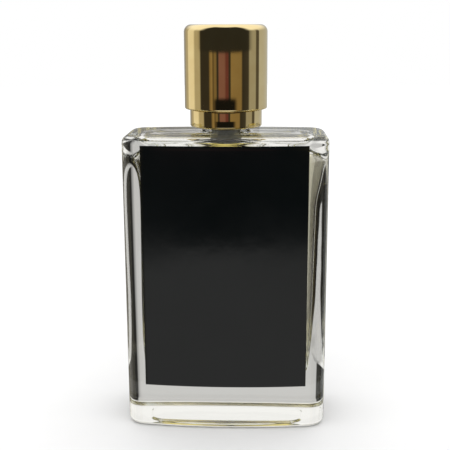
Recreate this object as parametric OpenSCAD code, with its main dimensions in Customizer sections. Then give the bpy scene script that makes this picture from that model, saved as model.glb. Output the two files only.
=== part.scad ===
// Glass spray bottle for aftershave: a bowed rectangular flacon with a black
// lacquered front panel, a crimped fine-mist pump, a gold collar and a gold
// lift-off cap. Millimetres. Z is up, X is the width, Y is the depth and the
// front looks along -Y. The origin is on the surface that the bottle stands on,
// below the middle of the neck.

/* [Flacon] */
// Width of the glass body
body_w = 55.3; // [54:0.1:60]
// Depth of the glass body at its middle, where the bow is largest
body_d = 27.7; // [27:0.1:34]
// Height of the glass body up to the flat of the shoulder
body_h = 81.7; // [80:0.1:81.9]
// Sagitta of the bowed front and back over the full width
face_bow = 2.1; // [1:0.1:2.6]
// Radius of the four upright corners in plan
corner_r = 5.3; // [4:0.1:7]
// Radius of the rounding round the shoulder
shoulder_r = 2.4; // [1.5:0.1:3]
// Radius of the rounding round the foot
foot_r = 1.6; // [0.8:0.1:2]
// Thickness of the two narrow side walls at the shoulder
side_wall = 3.3; // [3:0.1:4.5]
// How much thicker each side wall has become down at the floor
side_draft = 1.3; // [0:0.1:2]
// Thickness of the wide front and back walls
face_wall = 4.3; // [3.5:0.1:5]
// Thickness of the glass under the cavity
floor_t = 12.0; // [8:0.1:14]
// Thickness of the glass over the cavity at the shoulder
roof_t = 3.4; // [3:0.1:4]
// Depth of the shallow recess moulded into the foot
push_up = 0.6; // [0.3:0.1:1]

/* [Front panel] */
// Width of the black panel
panel_w = 44.3; // [40:0.1:44.8]
// Height of the panel's lower edge above the foot
panel_z0 = 12.5; // [10:0.1:14]
// Height of the panel's upper edge above the foot
panel_z1 = 79.2; // [74:0.1:79.3]
// Thickness of the panel
panel_t = 0.35; // [0.3:0.05:0.5]

/* [Neck] */
// Diameter of the bead that the ferrule is crimped under
bead_d = 15.0; // [14.9:0.05:15]
// Diameter of the neck below the bead
neck_d = 12.8; // [12.6:0.1:13]
// Diameter of the neck's bore
bore_d = 10.4; // [10.2:0.1:10.6]
// Height of the sealing face on top of the bead
neck_top = 87.9; // [87.8:0.1:88]

/* [Collar and cap] */
// Height of the collar's lower edge
collar_z0 = 83.1; // [82.9:0.1:83.2]
// Diameter of the collar's wide, visible band
collar_d = 19.45; // [19.2:0.05:19.6]
// Height of the ledge that the cap rests on
ledge_z = 87.75; // [87.7:0.05:87.8]
// Diameter of the cap
cap_d = 22.3; // [22.2:0.1:23]
// Height of the top of the cap
cap_top = 110.0; // [109.6:0.1:110.4]
// Radius of the rounding round the top of the cap
cap_edge_r = 1.9; // [0.8:0.1:2.1]
// Radius of the rounding round the mouth of the cap
cap_lip_r = 1.0; // [0.6:0.1:1]

/* [Pump] */
// Full stroke of the spray head
stroke = 5.0; // [4.6:0.1:5]
// Diameter of the spray head over its gold shell
head_d = 12.7; // [12.5:0.1:12.8]
// Height of the top of the spray head at rest
head_top = 103.7; // [103.4:0.1:103.8]
// Diameter of the dip tube
tube_d = 2.6; // [2.4:0.1:2.8]
// Fill level of the liquid
fill_z = 76.6; // [60:0.1:76.8]

/* [Hidden] */
$fn = 64;

gold = [0.80, 0.66, 0.36];
fit = 0.05;                         // radial clearance of a running fit
seam = 0.02;                        // gap that keeps two touching solids apart

// heights that follow one another up the pump
gasket_z1 = neck_top + 0.8;
flange_z1 = gasket_z1 + 1.0;
gland_z1 = flange_z1 + 0.9;
ferrule_z1 = gland_z1 + 0.4;
head_z0 = ferrule_z1 + stroke + 0.3;
collar_z1 = head_z0 + 0.4;
barrel_z0 = 67.0;                   // where the barrel narrows to the tail
seat_z = 70.0;                      // floor of the barrel, under the spring
piston_z = 84.0;                    // lower edge of the piston at rest
spring_top = 81.6;                  // upper end of the main spring at rest
panel_proud = 0.1;                  // how far the panel stands out of the face
tail_z0 = 60.0;                     // lower end of the tail
cavity_z0 = floor_t;
cavity_z1 = body_h - roof_t;
tube_top = 65.2;
tube_bend_z = 52;                   // above this height the dip tube is straight
tube_R = 260;                       // radius of the dip tube's set below it

// ---- plan of the flacon -------------------------------------------------
// y of the bowed face at x, for a plan of half width w, half depth d and bow b
function bow_y(x, w, d, b) = d - b * pow(x / w, 2);

// one quarter of the plan: half of the bowed face, then the upright corner.
// The corner arc starts at the slope that the bow has reached, so the outline
// has no kink there.
function corner_slope(w, d, b, r) = atan(2 * b * (w - r) / pow(w, 2));
function quarter(w, d, b, r, n, m) =
    let (t0 = corner_slope(w, d, b, r), xe = w - r + r * sin(t0),
         ye = bow_y(xe, w, d, b), cx = w - r, cy = ye - r * cos(t0))
    concat(
        [for (i = [0:n - 1]) let (x = xe * i / n) [x, bow_y(x, w, d, b)]],
        [for (i = [0:m]) let (a = 90 - t0 - (90 - t0) * i / m)
            [cx + r * cos(a), cy + r * sin(a)]]
    );
function rev(l) = [for (i = [len(l) - 1:-1:0]) l[i]];
function outline(w, d, b, r, n, m) =
    let (q = quarter(w, d, b, r, n, m), k = len(q))
    concat(
        q,
        [for (p = rev(q)) [p[0], -p[1]]],
        [for (i = [1:k - 1]) [-q[i][0], -q[i][1]]],
        [for (i = [k - 1:-1:1]) [-q[i][0], q[i][1]]]
    );

// Bowed block with rounded upper and lower edges, as rings of the same outline
// that draw in towards the foot and the top. Each layer is [height, inset]. With
// a draft the block is that much narrower on either side down at the foot.
function layers(z0, z1, r0, r1, steps) = concat(
    [for (i = [0:steps]) let (a = 90 * i / steps)
        [z0 + r0 * (1 - cos(a)), r0 * (1 - sin(a))]],
    [for (i = [steps:-1:0]) let (a = 90 * i / steps)
        [z1 - r1 * (1 - cos(a)), r1 * (1 - sin(a))]]
);
module flacon_block(w, d, b, r, z0, z1, r0, r1, n = 5, m = 6, steps = 4, draft = 0) {
    L = layers(z0, z1, r0, r1, steps);
    k = len(outline(w, d, b, r, n, m));
    pts = [for (l = L) each
        [for (p = outline(w - l[1] - draft * (z1 - l[0]) / (z1 - z0), d - l[1], b,
                max(r - l[1], 0.8), n, m))
            [p[0], p[1], l[0]]]];
    walls = [for (i = [0:len(L) - 2], j = [0:k - 1])
        let (a = i * k + j, c = i * k + (j + 1) % k)
        each [[a, c, a + k], [c, c + k, a + k]]];
    foot = [for (j = [1:k - 2]) [0, j + 1, j]];
    t = (len(L) - 1) * k;
    top = [for (j = [1:k - 2]) [t, t + j, t + j + 1]];
    polyhedron(points = pts, faces = concat(walls, foot, top), convexity = 4);
}

// space inside the glass, drawn in by gap on every side: soft at the floor, a
// little narrower there, and domed towards the neck
module cavity(gap = 0) {
    flacon_block(body_w / 2 - side_wall - gap, body_d / 2 - face_wall - gap,
        face_bow * 0.75, 5.5, cavity_z0 + gap, cavity_z1 - gap, 4.5, 4.0, 4, 4, 4,
        side_draft);
}

// rounded rectangle in plan
module rounded_plan(w, d, r) {
    hull()
        for (sx = [-1, 1], sy = [-1, 1])
            translate([sx * (w / 2 - r), sy * (d / 2 - r)]) circle(r = r, $fn = 32);
}

// ring with a rectangular section
module ring(ro, ri, z0, z1) {
    translate([0, 0, z0]) difference() {
        cylinder(r = ro, h = z1 - z0);
        translate([0, 0, -1]) cylinder(r = ri, h = z1 - z0 + 2);
    }
}

// ring turned from a profile of [radius, height] points
module turned(points) { rotate_extrude($fn = 72) polygon(points); }

// points of a quarter round in a profile, about [cx, cz], from angle a0 to a1
function arc(cx, cz, r, a0, a1, n = 6) =
    [for (i = [0:n]) let (a = a0 + (a1 - a0) * i / n) [cx + r * cos(a), cz + r * sin(a)]];

// ---- coil springs ---------------------------------------------------------
// Compression spring with closed ends: the pitch is small over the first and
// the last turn. The wire is swept along the helix as one closed tube.
function coil_z(u, turns, h, wire) =
    let (dead = 1.0, e = wire * 1.06, live = turns - 2 * dead,
         run = (h - wire - 2 * dead * e))
    u < dead ? wire / 2 + e * u :
    u > turns - dead ? h - wire / 2 - e * (turns - u) :
    wire / 2 + dead * e + run * (u - dead) / live;
function ring_at(u, r, turns, h, wire, sides) =
    [for (k = [0:sides - 1])
        let (a = 360 * u, c = 360 * k / sides, rr = r + wire / 2 * cos(c))
        [rr * cos(a), rr * sin(a), coil_z(u, turns, h, wire) + wire / 2 * sin(c)]];
module coil(od, wire, turns, h, per_turn = 16, sides = 6) {
    steps = turns * per_turn;
    r = (od - wire) / 2;
    pts = [for (i = [0:steps]) each ring_at(i / per_turn, r, turns, h, wire, sides)];
    walls = [for (i = [0:steps - 1], k = [0:sides - 1])
        let (a = i * sides + k, b = i * sides + (k + 1) % sides)
        each [[a, b, a + sides], [b, b + sides, a + sides]]];
    first = [for (k = [1:sides - 2]) [0, k + 1, k]];
    e = steps * sides;
    last = [for (k = [1:sides - 2]) [e, e + k, e + k + 1]];
    polyhedron(points = pts, faces = concat(walls, first, last), convexity = 10);
}

// ---- flacon -----------------------------------------------------------------
module panel_outline(gap = 0, out = 0) {
    // strip that follows the bowed face and stands a hair proud of it
    w = body_w / 2; d = body_d / 2; n = 12; h = panel_w / 2 + gap;
    polygon(concat(
        [for (i = [0:n]) let (x = -h + 2 * h * i / n)
            [x, -bow_y(x, w, d, face_bow) - panel_proud - out]],
        [for (i = [n:-1:0]) let (x = -h + 2 * h * i / n)
            [x, -bow_y(x, w, d, face_bow) - panel_proud + panel_t + gap]]
    ));
}

module bottle() {
    color([0.86, 0.90, 0.90, 0.35])
    difference() {
        union() {
            flacon_block(body_w / 2, body_d / 2, face_bow, corner_r,
                0, body_h, foot_r, shoulder_r);
            // neck, with a small flare where it grows out of the shoulder
            translate([0, 0, body_h - 1])
                cylinder(d = neck_d, h = neck_top - 0.6 - body_h + 1);
            turned(concat([[0, body_h - 0.5], [neck_d / 2 + 0.7, body_h - 0.5],
                    [neck_d / 2 + 0.7, body_h]],
                [[neck_d / 2, body_h + 0.7], [0, body_h + 0.7]]));
            // bead that the ferrule grips
            turned([[0, 84.0], [neck_d / 2, 84.0], [bead_d / 2, 84.7],
                [bead_d / 2, neck_top - 0.5], [bead_d / 2 - 0.5, neck_top],
                [0, neck_top]]);
        }
        cavity();
        // bore of the neck
        translate([0, 0, cavity_z1 - 1]) cylinder(d = bore_d, h = 20);
        // recess in the foot, so that the bottle stands on a rim
        translate([0, 0, -1]) linear_extrude(height = push_up + 1)
            rounded_plan(body_w - 2 * 6.2, body_d - 2 * 5.6, 4.5);
        // shallow pocket for the black panel
        translate([0, 0, panel_z0 - seam])
            linear_extrude(height = panel_z1 - panel_z0 + 2 * seam)
                panel_outline(seam, 1);
    }
}

module front_panel() {
    color([0.03, 0.035, 0.035])
    translate([0, 0, panel_z0])
        linear_extrude(height = panel_z1 - panel_z0) panel_outline();
}

module liquid() {
    color([0.93, 0.85, 0.35, 0.6])
    difference() {
        intersection() {
            cavity(seam);
            translate([-40, -40, 0]) cube([80, 80, fill_z]);
        }
        // room for the pump and the dip tube
        pump_housing_skin(seam);
        dip_route(tube_d + 2 * seam, 0.05);
    }
}

// ---- pump ---------------------------------------------------------------------
module neck_gasket() {
    color([0.85, 0.85, 0.82])
    ring(7.2, 4.3, neck_top, gasket_z1);
}

// outer skin of the housing: flange, barrel and tail, drawn out by gap
module pump_housing_skin(gap = 0) {
    turned([[0, tail_z0 - gap], [2.1 + gap, tail_z0 - gap],
        [2.1 + gap, barrel_z0 - 2.0], [3.9 + gap, barrel_z0 - gap],
        [4.15 + gap, barrel_z0 + 1.0], [4.15 + gap, gasket_z1],
        [7.1 + gap, gasket_z1], [7.1 + gap, flange_z1], [0, flange_z1]]);
}

module pump_housing() {
    color([0.93, 0.93, 0.90])
    difference() {
        pump_housing_skin();
        // barrel that the piston slides in
        translate([0, 0, seat_z]) cylinder(r = 3.05, h = 40);
        // chamber of the inlet ball, the port above it and the port from the
        // dip tube below it
        translate([0, 0, 66.6]) cylinder(r = 1.35, h = 2.7);
        translate([0, 0, 68]) cylinder(r = 0.75, h = 4);
        translate([0, 0, 60]) cylinder(r = 0.6, h = 8);
        // socket of the dip tube
        translate([0, 0, tail_z0 - 1]) cylinder(d = tube_d, h = tube_top - tail_z0 + 1);
        // lead-in at the mouth of the barrel
        turned([[0, flange_z1 + 1], [4.3, flange_z1 + 1], [4.3, flange_z1],
            [3.05, flange_z1 - 1.25], [0, flange_z1 - 1.25]]);
    }
}

module gland() {
    // ring that closes the barrel and guides the stem, with a short turret
    color([0.94, 0.94, 0.92])
    difference() {
        union() {
            translate([0, 0, flange_z1 + seam])
                cylinder(r = 7.1, h = gland_z1 - flange_z1 - seam);
            translate([0, 0, gland_z1 - 0.1]) cylinder(r = 3.2, h = 1.4);
            // skirt that plugs the barrel's mouth
            translate([0, 0, flange_z1 - 1.2]) cylinder(r = 3.02, h = 1.3);
        }
        translate([0, 0, flange_z1 - 2]) cylinder(r = 1.5 + fit, h = 8);
    }
}

module ferrule() {
    // crimped cup: top, side and the edge that is rolled in under the bead
    color([0.82, 0.82, 0.80])
    turned([
        [6.75, 83.5], [7.1, 83.35], [7.75, 83.8], [7.95, 84.4],
        [7.95, ferrule_z1 - 0.5], [7.45, ferrule_z1], [3.3, ferrule_z1],
        [3.3, gland_z1 + seam], [7.3, gland_z1 + seam], [7.55, gland_z1 - 0.3],
        [7.55, 84.6], [7.3, 84.2]
    ]);
}

module collar_sleeve() {
    // plastic ring that is pushed over the ferrule and carries the gold collar
    color([0.15, 0.15, 0.15])
    turned([
        [8.0, 84.1], [8.35, 83.7], [8.75, 83.7], [8.75, ledge_z - 0.7],
        [8.2, ledge_z - 0.7],
        [8.2, ferrule_z1 + 0.9], [7.0, ferrule_z1 + 0.9], [7.0, ferrule_z1 + seam],
        [8.0, ferrule_z1 + seam]
    ]);
}

module collar() {
    // turned gold ring: a wide band, the ledge for the cap and the upper spigot
    color(gold)
    turned(concat(
        [[8.77, collar_z0 + 0.15], [8.92, collar_z0]],
        arc(collar_d / 2 - 0.45, collar_z0 + 0.45, 0.45, -90, 0, 4),
        arc(collar_d / 2 - 0.35, ledge_z - 0.35, 0.35, 0, 90, 4),
        [[8.72, ledge_z], [8.72, collar_z1 - 0.4]],
        arc(8.32, collar_z1 - 0.4, 0.4, 0, 90, 4),
        [[6.9, collar_z1], [6.7, collar_z1 - 0.2], [6.7, ferrule_z1 + 0.95],
         [8.22, ferrule_z1 + 0.95], [8.22, ledge_z - 0.68], [8.77, ledge_z - 0.68]]
    ));
}

module piston() {
    // sealing ring with a lip at each end, which slides on the valve pin
    z = piston_z;
    color([0.88, 0.9, 0.93])
    turned([[1.05 + fit, z + 0.4], [2.0, z + 0.4], [2.6, z], [3.0, z],
        [3.0, z + 0.7], [2.8, z + 1.0], [2.8, z + 2.2], [3.0, z + 2.5],
        [3.0, z + 3.1], [2.6, z + 3.1], [2.2, z + 1.9], [1.05 + fit, z + 1.9]]);
}

module stem() {
    // hollow spray tube with the flange that stops under the gland and pushes
    // the precompression spring
    color([0.93, 0.93, 0.93])
    difference() {
        turned([[0, 86.9], [1.45, 86.9], [1.45, 87.75], [2.6, 87.75],
            [2.6, flange_z1 - 1.25], [1.5, flange_z1 - 1.25],
            [1.5, head_top - 3.4], [0, head_top - 3.4]]);
        // channel, and below it the socket of the valve pin
        translate([0, 0, 86]) cylinder(r = 0.5, h = 30);
        translate([0, 0, 86]) cylinder(r = 0.9, h = 3);
    }
}

module valve_pin() {
    // rod that carries the piston: a seat cone under it, a side port that the
    // piston covers at rest, and a foot that sits in the main spring
    color([0.86, 0.86, 0.84])
    difference() {
        turned([[0, 80.4], [1.5, 80.4], [1.8, 80.8], [1.8, spring_top + seam],
            [2.45, spring_top + seam], [2.45, 82.2], [1.8, 82.5], [1.8, 83.6],
            [1.05, piston_z + 0.35], [1.05, 86.88], [0.88, 86.9], [0.88, 88.9],
            [0, 88.9]]);
        translate([0, 0, piston_z + 0.5]) cylinder(r = 0.4, h = 10, $fn = 24);
        translate([0, 0, piston_z + 0.75]) rotate([0, 90, 0])
            cylinder(r = 0.26, h = 4, center = true, $fn = 24);
    }
}

module main_spring() {
    color([0.75, 0.76, 0.78])
    translate([0, 0, seat_z + seam]) coil(4.9, 0.5, 8, spring_top - seat_z - seam);
}

module precompression_spring() {
    z0 = piston_z + 1.9 + seam;
    color([0.75, 0.76, 0.78])
    translate([0, 0, z0]) coil(3.6, 0.24, 4, 87.75 - seam - z0);
}

module check_ball() {
    color([0.8, 0.8, 0.82])
    translate([0, 0, 67.42]) sphere(r = 1.0, $fn = 32);
}

// dip tube: straight below the pump, then a slight set to one side. The arc
// leaves the straight part upright and leans towards +X.
module dip_route(d, extra = 0) {
    a = asin((tube_bend_z - cavity_z0 - 1.6) / tube_R) + extra / tube_R * 57.3;
    translate([0, 0, tube_bend_z]) cylinder(d = d, h = tube_top - tube_bend_z + extra);
    translate([tube_R, 0, tube_bend_z]) rotate([90, 0, 0]) rotate([0, 0, 180])
        rotate_extrude(angle = a, $fn = 180) translate([tube_R, 0]) circle(d = d, $fn = 24);
}

module dip_tube() {
    color([0.9, 0.92, 0.9, 0.7])
    difference() {
        dip_route(tube_d);
        dip_route(tube_d - 1.0, 0.5);
    }
}

// ---- spray head -----------------------------------------------------------------
module actuator() {
    // moulded core: socket for the stem, channel and seat of the nozzle
    color([0.12, 0.12, 0.12])
    difference() {
        turned([[0, head_z0 + 0.8], [2.6, head_z0 + 0.8], [2.6, head_z0 + 2.6],
            [5.0, head_z0 + 2.6], [5.0, head_z0], [5.8, head_z0],
            [5.8, head_top - 0.5], [0, head_top - 0.5]]);
        // socket that turns on the stem
        translate([0, 0, head_z0 - 1]) cylinder(r = 1.5 + fit, h = head_top - 3.38 - head_z0 + 1);
        // rise to the nozzle, then the channel towards the front
        translate([0, 0, head_z0 + 2]) cylinder(r = 0.5, h = head_top - 2.2 - head_z0 - 2, $fn = 24);
        translate([0, 0, head_top - 2.7]) rotate([90, 0, 0]) cylinder(r = 0.5, h = 8, $fn = 24);
        // seat of the nozzle insert
        translate([0, -3.2, head_top - 2.7]) rotate([90, 0, 0]) cylinder(r = 1.6, h = 5, $fn = 32);
    }
}

module actuator_shell() {
    color(gold)
    difference() {
        turned(concat([[5.85, head_z0 + 0.05], [head_d / 2, head_z0 + 0.05]],
            arc(head_d / 2 - 0.9, head_top - 0.9, 0.9, 0, 90, 6),
            [[0, head_top], [0, head_top - 0.45], [5.85, head_top - 0.45]]));
        // window of the nozzle
        translate([0, 0, head_top - 2.7]) rotate([90, 0, 0]) cylinder(r = 1.62, h = 10, $fn = 32);
    }
}

module nozzle_insert() {
    color([0.1, 0.1, 0.1])
    translate([0, -3.25, head_top - 2.7]) rotate([90, 0, 0]) difference() {
        cylinder(r = 1.55, h = 2.75, $fn = 32);
        // swirl chamber behind, orifice and its flare in front
        translate([0, 0, -1]) cylinder(r = 0.7, h = 2.6, $fn = 24);
        cylinder(r = 0.18, h = 5, $fn = 16);
        translate([0, 0, 2.35]) cylinder(r = 0.75, h = 1, $fn = 24);
    }
}

// ---- cap ---------------------------------------------------------------------------
module cap_shell() {
    r = cap_d / 2;
    z0 = ledge_z + 0.05;
    color(gold)
    turned(concat(
        [[10.0, z0 + 0.1], [10.1, z0]],
        arc(r - cap_lip_r, z0 + cap_lip_r, cap_lip_r, -90, 0, 8),
        arc(r - cap_edge_r, cap_top - cap_edge_r, cap_edge_r, 0, 90, 8),
        [[0, cap_top], [0, cap_top - 0.9], [r - 1.5, cap_top - 0.9],
         [r - 1.0, cap_top - 1.4], [r - 1.0, z0 + 1.0], [10.0, z0 + 0.7]]
    ));
}

module cap_liner() {
    // plastic cup inside the cap, with ribs that grip the collar's spigot
    r = cap_d / 2 - 1.0 - seam;
    z0 = ledge_z + 0.05;
    zt = cap_top - 0.9 - seam;
    color([0.1, 0.1, 0.1])
    union() {
        turned([[9.0, z0], [9.9, z0], [9.9, z0 + 1.0 + seam],
            [r, z0 + 1.3], [r, z0 + 2.0], [9.9, z0 + 2.0], [9.9, zt - 0.9],
            [r - 0.6, zt - 0.9], [r - 0.6, zt], [0, zt], [0, zt - 0.9],
            [9.0, zt - 0.9]]);
        // six upright ribs
        for (i = [0:5]) rotate([0, 0, 60 * i + 30])
            intersection() {
                ring(9.2, 8.72 + fit, z0 + 0.6, z0 + 8.4);
                translate([8, -0.6, z0]) cube([3, 1.2, 10]);
            }
    }
}

bottle();
front_panel();
liquid();
neck_gasket();
pump_housing();
gland();
ferrule();
collar();
collar_sleeve();
piston();
stem();
valve_pin();
main_spring();
precompression_spring();
check_ball();
dip_tube();
actuator();
actuator_shell();
nozzle_insert();
cap_shell();
cap_liner();
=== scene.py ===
import bpy, bmesh, math
from mathutils import Matrix, Vector, noise


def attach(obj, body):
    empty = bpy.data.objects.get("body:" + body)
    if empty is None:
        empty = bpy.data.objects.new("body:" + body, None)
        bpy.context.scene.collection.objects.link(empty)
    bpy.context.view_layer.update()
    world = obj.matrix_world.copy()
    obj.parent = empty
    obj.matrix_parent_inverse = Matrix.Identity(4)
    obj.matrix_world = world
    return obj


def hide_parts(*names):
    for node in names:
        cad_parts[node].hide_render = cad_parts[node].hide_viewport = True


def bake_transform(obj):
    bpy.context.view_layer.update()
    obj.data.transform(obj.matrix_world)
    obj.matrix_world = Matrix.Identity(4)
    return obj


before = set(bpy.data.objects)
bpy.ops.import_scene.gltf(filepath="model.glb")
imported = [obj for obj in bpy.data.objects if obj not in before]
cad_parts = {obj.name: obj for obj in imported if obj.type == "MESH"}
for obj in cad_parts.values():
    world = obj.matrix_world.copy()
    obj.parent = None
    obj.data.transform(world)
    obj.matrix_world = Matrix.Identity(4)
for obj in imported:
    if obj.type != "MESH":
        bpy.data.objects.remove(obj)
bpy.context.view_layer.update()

MM = 0.001

# ---------------------------------------------------------------- sizes in mm
BODY_W, BODY_D, BODY_H = 55.3, 27.7, 81.7
BOW, CORNER_R = 2.1, 5.3
SHOULDER_R, FOOT_R = 2.4, 1.6
FACE_WALL, FLOOR_T, ROOF_T = 4.3, 12.0, 3.4
PUSH_UP = 0.6
PANEL_W, PANEL_Z0, PANEL_Z1, PANEL_T, PANEL_PROUD = 44.3, 12.5, 79.2, 0.35, 0.1
BEAD_D, NECK_D, BORE_D, NECK_TOP = 15.0, 12.8, 10.4, 87.9
COLLAR_Z0, COLLAR_D, LEDGE_Z = 83.1, 19.45, 87.75
CAP_D, CAP_TOP, CAP_EDGE_R, CAP_LIP_R = 22.3, 110.0, 1.9, 1.0
STROKE, HEAD_D, HEAD_TOP = 5.0, 12.7, 103.7
TUBE_D, FILL_Z = 2.6, 76.6
GASKET_Z1 = NECK_TOP + 0.8
FLANGE_Z1 = GASKET_Z1 + 1.0
GLAND_Z1 = FLANGE_Z1 + 0.9
FERRULE_Z1 = GLAND_Z1 + 0.4
HEAD_Z0 = FERRULE_Z1 + STROKE + 0.3
COLLAR_Z1 = HEAD_Z0 + 0.4

# --------------------------------------------------------------------- camera
YAW, PITCH, ROLL = math.radians(2.355), math.radians(13.042), math.radians(-0.245)
CAM_D, CAM_H, CAM_X = 236.418, 109.981, 0.411
cam_data = bpy.data.cameras.new("camera")
cam_data.sensor_fit = "HORIZONTAL"
cam_data.sensor_width = 36.0
cam_data.lens = 69.295
cam = bpy.data.objects.new("camera", cam_data)
bpy.context.collection.objects.link(cam)
cam.location = (
    (-CAM_X * math.cos(YAW) + CAM_D * math.sin(YAW)) * MM,
    (-CAM_X * math.sin(YAW) - CAM_D * math.cos(YAW)) * MM,
    CAM_H * MM,
)
turn = (Matrix.Rotation(YAW, 3, "Z") @ Matrix.Rotation(math.pi / 2 - PITCH, 3, "X")
        @ Matrix.Rotation(ROLL, 3, "Z"))
cam.rotation_euler = turn.to_euler()
bpy.context.scene.camera = cam

# ------------------------------------------------------------------ mesh tools
def new_object(name, verts, faces, mat, body, smooth_angle=30.0):
    mesh = bpy.data.meshes.new(name)
    mesh.from_pydata([(x * MM, y * MM, z * MM) for x, y, z in verts], [], faces)
    mesh.validate()
    bm = bmesh.new()
    bm.from_mesh(mesh)
    bmesh.ops.recalc_face_normals(bm, faces=bm.faces)
    bm.to_mesh(mesh)
    bm.free()
    mesh.shade_smooth()
    if smooth_angle is not None:
        mesh.set_sharp_from_angle(angle=math.radians(smooth_angle))
    obj = bpy.data.objects.new(name, mesh)
    bpy.context.collection.objects.link(obj)
    if mat is not None:
        mesh.materials.append(mat)
    if body is not None:
        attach(obj, body)
    return obj


def rounded(points, closed=True, default=0.12, steps=4):
    """A profile of (r, z) or (r, z, round radius) with its corners rounded."""
    pts = [(p[0], p[1], (p[2] if len(p) > 2 else default)) for p in points]
    n = len(pts)
    out = []
    for i in range(n):
        x, y, rad = pts[i]
        if not closed and i in (0, n - 1) or rad <= 0:
            out.append((x, y))
            continue
        ax, ay, _ = pts[(i - 1) % n]
        bx, by, _ = pts[(i + 1) % n]
        la, lb = math.hypot(ax - x, ay - y), math.hypot(bx - x, by - y)
        if la < 1e-6 or lb < 1e-6:
            out.append((x, y))
            continue
        ua, ub = ((ax - x) / la, (ay - y) / la), ((bx - x) / lb, (by - y) / lb)
        dot = max(-1.0, min(1.0, ua[0] * ub[0] + ua[1] * ub[1]))
        ang = math.acos(dot)
        if ang > math.radians(172):
            out.append((x, y))
            continue
        t = min(rad / math.tan(ang / 2), la * 0.45, lb * 0.45)
        r = t * math.tan(ang / 2)
        # centre of the rounding lies on the bisector
        bis = (ua[0] + ub[0], ua[1] + ub[1])
        lbis = math.hypot(*bis)
        cdist = r / math.sin(ang / 2)
        cx, cy = x + bis[0] / lbis * cdist, y + bis[1] / lbis * cdist
        p0 = (x + ua[0] * t, y + ua[1] * t)
        p1 = (x + ub[0] * t, y + ub[1] * t)
        a0 = math.atan2(p0[1] - cy, p0[0] - cx)
        a1 = math.atan2(p1[1] - cy, p1[0] - cx)
        d = a1 - a0
        while d > math.pi:
            d -= 2 * math.pi
        while d < -math.pi:
            d += 2 * math.pi
        for k in range(steps + 1):
            a = a0 + d * k / steps
            out.append((cx + r * math.cos(a), cy + r * math.sin(a)))
    return out


def lathe(name, profile, mat, body, seg=160, closed=True, smooth_angle=35.0):
    """Turned piece. A point with r = 0 lies on the axis and is one vertex."""
    verts, rings = [], []
    for r, z in profile:
        if r < 1e-6:
            rings.append([len(verts)])
            verts.append((0.0, 0.0, z))
        else:
            ring = []
            for k in range(seg):
                a = 2 * math.pi * k / seg
                ring.append(len(verts))
                verts.append((r * math.cos(a), r * math.sin(a), z))
            rings.append(ring)
    faces = []
    pairs = list(zip(rings, rings[1:]))
    if closed:
        pairs.append((rings[-1], rings[0]))
    for a, b in pairs:
        if len(a) == 1 and len(b) == 1:
            continue
        for k in range(seg):
            k2 = (k + 1) % seg
            if len(a) == 1:
                faces.append((a[0], b[k], b[k2]))
            elif len(b) == 1:
                faces.append((a[k], a[k2], b[0]))
            else:
                faces.append((a[k], a[k2], b[k2], b[k]))
    return new_object(name, verts, faces, mat, body, smooth_angle)


# ------------------------------------------------------------- plan of the glass
NS, NC, NB = 6, 12, 18


def bow_y(x, w, d, b):
    return d - b * (x / w) ** 2


def outline(w, d, b, r):
    """Plan outline, counter-clockwise from (w, 0)."""
    t0 = math.atan(2 * b * (w - r) / w ** 2)
    xe = w - r + r * math.sin(t0)
    ye = bow_y(xe, w, d, b)
    cx, cy = w - r, ye - r * math.cos(t0)
    q = [(w, cy * i / NS) for i in range(NS)]
    for j in range(NC + 1):
        a = (math.pi / 2 - t0) * j / NC
        q.append((cx + r * math.cos(a), cy + r * math.sin(a)))
    for i in range(1, NB + 1):
        x = xe * (1 - i / NB)
        q.append((x, bow_y(x, w, d, b)))
    # q runs from (w, 0) to (0, d)
    full = q[:]
    full += [(-x, y) for x, y in q[-2::-1]]
    full += [(-x, -y) for x, y in q[1:]]
    full += [(x, -y) for x, y in q[-2:0:-1]]
    return full


BASE_OUTLINE = outline(BODY_W / 2, BODY_D / 2, BOW, CORNER_R)
ANGLES = [math.atan2(y, x) for x, y in BASE_OUTLINE]
NRING = len(BASE_OUTLINE)


def ring_outline(w, d, b, r, z):
    return [(x, y, z) for x, y in outline(w, d, b, r)]


def ring_circle(r, z):
    return [(r * math.cos(a), r * math.sin(a), z) for a in ANGLES]


def ring_mix(a, b, t, z=None):
    return [
        (p[0] * (1 - t) + q[0] * t, p[1] * (1 - t) + q[1] * t,
         (p[2] * (1 - t) + q[2] * t) if z is None else z)
        for p, q in zip(a, b)
    ]


def skin(name, rings, mat, body, smooth_angle=40.0):
    """Closed solid through rings. A ring of one point closes an end."""
    verts, idx = [], []
    for ring in rings:
        idx.append(list(range(len(verts), len(verts) + len(ring))))
        verts.extend(ring)
    faces = []
    for a, b in zip(idx, idx[1:]):
        n = max(len(a), len(b))
        for k in range(n):
            k2 = (k + 1) % n
            if len(a) == 1:
                faces.append((a[0], b[k], b[k2]))
            elif len(b) == 1:
                faces.append((a[k], a[k2], b[0]))
            else:
                faces.append((a[k], a[k2], b[k2], b[k]))
    return new_object(name, verts, faces, mat, body, smooth_angle)


def wave(x, y, z, amp, scale, seed):
    """Smooth unevenness of a moulded inner face, in mm."""
    v = Vector((x / scale + seed, y / scale - seed, z / (scale * 1.7) + 2 * seed))
    return amp * noise.noise(v)


# ------------------------------------------------------------------- materials
def material(name):
    m = bpy.data.materials.new(name)
    m.use_nodes = True
    nt = m.node_tree
    nt.nodes.clear()
    out = nt.nodes.new("ShaderNodeOutputMaterial")
    p = nt.nodes.new("ShaderNodeBsdfPrincipled")
    nt.links.new(p.outputs["BSDF"], out.inputs["Surface"])
    return m, nt, p, out


def coords(nt, scale=(1, 1, 1)):
    tc = nt.nodes.new("ShaderNodeTexCoord")
    mp = nt.nodes.new("ShaderNodeMapping")
    mp.inputs["Scale"].default_value = scale
    nt.links.new(tc.outputs["Object"], mp.inputs["Vector"])
    return mp.outputs["Vector"]


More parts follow.
